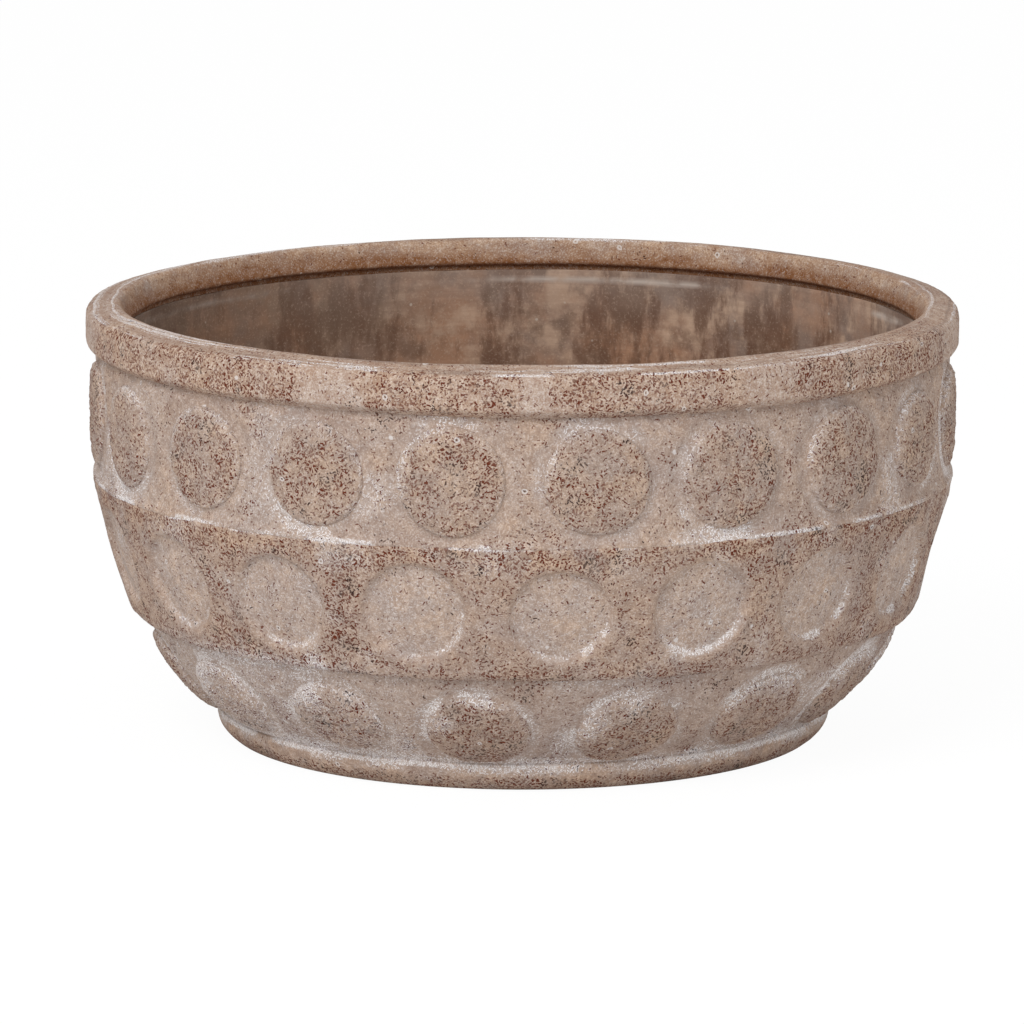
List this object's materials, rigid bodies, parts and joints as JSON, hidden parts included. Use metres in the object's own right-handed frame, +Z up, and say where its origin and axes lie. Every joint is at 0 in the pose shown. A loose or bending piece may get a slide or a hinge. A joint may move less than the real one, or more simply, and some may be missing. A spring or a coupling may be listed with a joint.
{
  "type": "bowl planter",
  "caption": "Low round bowl planter of belted clay with a rolled rim, raised and sunken round decoration, a sealed inside and a drain hole with a lift-out stopper.",
  "frame": {"origin": "centre of the circle that the foot ring stands on", "axes": "+Z up along the bowl's axis, front of the picture towards -Y, +X to the right seen from the front"},
  "size_m": [0.3999, 0.4, 0.2],
  "materials": {
    "washed_clay": "matt pinkish beige clay with a pale wash and dark reddish flecks",
    "rim_clay": "matt pinkish beige clay, brushed on top and thick with dark flecks outside",
    "flecked_clay": "matt beige clay with dense dark reddish flecks and pale edges",
    "bare_clay": "matt unwashed clay",
    "lining_coat": "satin brown sealing coat with dark upright stains",
    "stopper_rubber": "matt black rubber"
  },
  "bodies": {
    "pot": {"foot_ring": "washed_clay", "bowl_floor": "bare_clay", "lower_wall": "washed_clay", "middle_wall": "washed_clay", "upper_wall": "washed_clay", "rim": "rim_clay", "upper_discs": "flecked_clay", "lower_discs": "flecked_clay", "inner_lining": "lining_coat"},
    "stopper": {"drain_stopper": "stopper_rubber"}
  },
  "joints": [
    {"name": "stopper_lift", "type": "slide", "parent": "pot", "child": "stopper", "axis": [0, 0, 1], "range_m": [0, 0.2]}
  ]
}
